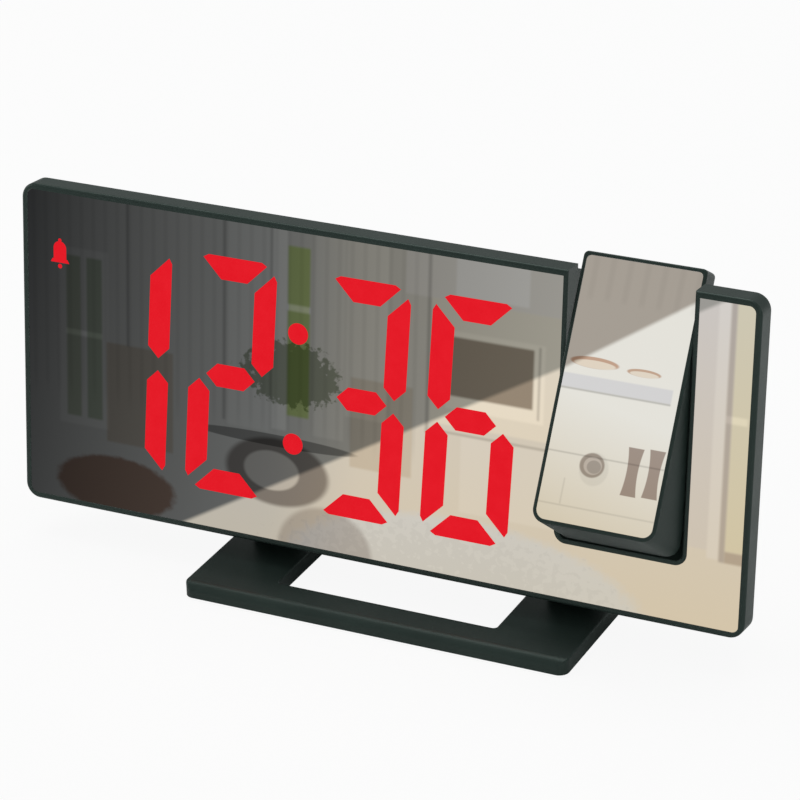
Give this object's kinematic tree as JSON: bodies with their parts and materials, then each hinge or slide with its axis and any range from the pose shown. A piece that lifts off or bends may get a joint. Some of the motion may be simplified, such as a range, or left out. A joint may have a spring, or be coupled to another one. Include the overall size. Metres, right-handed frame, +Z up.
{
  "type": "projection alarm clock",
  "caption": "Table alarm clock with a mirrored front, glowing seven-segment digits and a mirrored projector arm that folds into a pocket in its side; it leans back on a plug-in loop stand.",
  "frame": {"origin": "middle of the whole clock's footprint, at table level, arm as in the picture", "axes": "+X to the right of the clock's user, +Y away from the user to the clock's back, +Z up"},
  "size_m": [0.19, 0.0478, 0.0924],
  "materials": {
    "body_plastic": "satin, near-black with a green cast",
    "arm_plastic": "satin, near-black with a green cast",
    "stand_plastic": "satin, near-black",
    "one_way_mirror": "one-way mirror coating",
    "lit_segment": "lit red",
    "diffuser": "frosted",
    "white_plastic": "matt white reflector",
    "circuit_board": "green solder mask",
    "chip": "matt black",
    "led": "clear over red",
    "black_plastic": "matt black",
    "button_plastic": "satin, near-black",
    "steel": "zinc-plated",
    "spring_steel": "bright",
    "nickel": "nickel-plated",
    "cell_wrap": "plain wrap",
    "foot_rubber": "matt",
    "lens_glass": "clear",
    "lcd_glass": "dark polariser"
  },
  "bodies": {
    "clock": {"stand": "stand_plastic", "stand_feet": "foot_rubber", "front_frame": "body_plastic", "mirror_panel": "one_way_mirror", "digit_hour_tens": "lit_segment", "digit_hour_units": "lit_segment", "colon_dots": "lit_segment", "digit_minute_tens": "lit_segment", "digit_minute_units": "lit_segment", "alarm_indicator": "lit_segment", "diffuser_film": "diffuser", "light_box": "white_plastic", "segment_leds": "led", "display_board": "circuit_board", "board_connector": "white_plastic", "main_board": "circuit_board", "driver_chips": "chip", "tact_switches": "black_plastic", "board_screws": "steel", "rear_cover": "body_plastic", "cover_screws": "steel", "battery_cells": "cell_wrap", "battery_contacts": "nickel", "power_socket": "black_plastic", "buzzer": "black_plastic", "hinge_spring_washers": "spring_steel"},
    "projector": {"projector_front_shell": "arm_plastic", "projector_mirror": "one_way_mirror", "projector_rear_shell": "arm_plastic", "projector_screws": "steel", "hinge_pins": "steel", "hinge_clips": "spring_steel", "optics_tube": "black_plastic", "image_lcd": "lcd_glass", "condenser_holder": "black_plastic", "condenser_lens": "lens_glass", "projector_led": "led", "led_board": "circuit_board"},
    "focus_ring": {"focus_ring": "black_plastic", "focus_ring_clip": "spring_steel"},
    "lens": {"lens_barrel": "black_plastic", "projection_lens": "lens_glass"},
    "battery_door": {"battery_door": "body_plastic"},
    "button_mode": {"button_mode": "button_plastic"},
    "button_up": {"button_up": "button_plastic"},
    "button_down": {"button_down": "button_plastic"},
    "button_alarm": {"button_alarm": "button_plastic"},
    "button_projector": {"button_projector": "button_plastic"}
  },
  "joints": [
    {"name": "projector_hinge", "type": "hinge", "parent": "clock", "child": "projector", "pos_m": [0.06375, 0.00893, 0.07173], "axis": [-1, 0, 0], "range_deg": [-24.7, 65.3]},
    {"name": "focus_turn", "type": "hinge", "parent": "projector", "child": "focus_ring", "pos_m": [0.06375, 0.01719, 0.08066], "axis": [0, 0.5135, 0.8581], "range_deg": [-90, 90]},
    {"name": "lens_slide", "type": "slide", "parent": "projector", "child": "lens", "axis": [0, 0.5135, 0.8581], "range_m": [-0.0015, 0.0015]},
    {"name": "battery_door_slide", "type": "slide", "parent": "clock", "child": "battery_door", "axis": [0, -0.108, -0.9942], "range_m": [0, 0.012]},
    {"name": "button_mode_press", "type": "slide", "parent": "clock", "child": "button_mode", "axis": [0, -0.9942, 0.108], "range_m": [0, 0.0006], "stiffness_N_per_m": 400},
    {"name": "button_up_press", "type": "slide", "parent": "clock", "child": "button_up", "axis": [0, -0.9942, 0.108], "range_m": [0, 0.0006], "stiffness_N_per_m": 400},
    {"name": "button_down_press", "type": "slide", "parent": "clock", "child": "button_down", "axis": [0, -0.9942, 0.108], "range_m": [0, 0.0006], "stiffness_N_per_m": 400},
    {"name": "button_alarm_press", "type": "slide", "parent": "clock", "child": "button_alarm", "axis": [0, -0.9942, 0.108], "range_m": [0, 0.0006], "stiffness_N_per_m": 400},
    {"name": "button_projector_press", "type": "slide", "parent": "clock", "child": "button_projector", "axis": [0, -0.9942, 0.108], "range_m": [0, 0.0006], "stiffness_N_per_m": 400}
  ],
  "couplings": [
    {"joint": "focus_turn", "follows": "lens_slide", "rad_per_m": 1040}
  ]
}
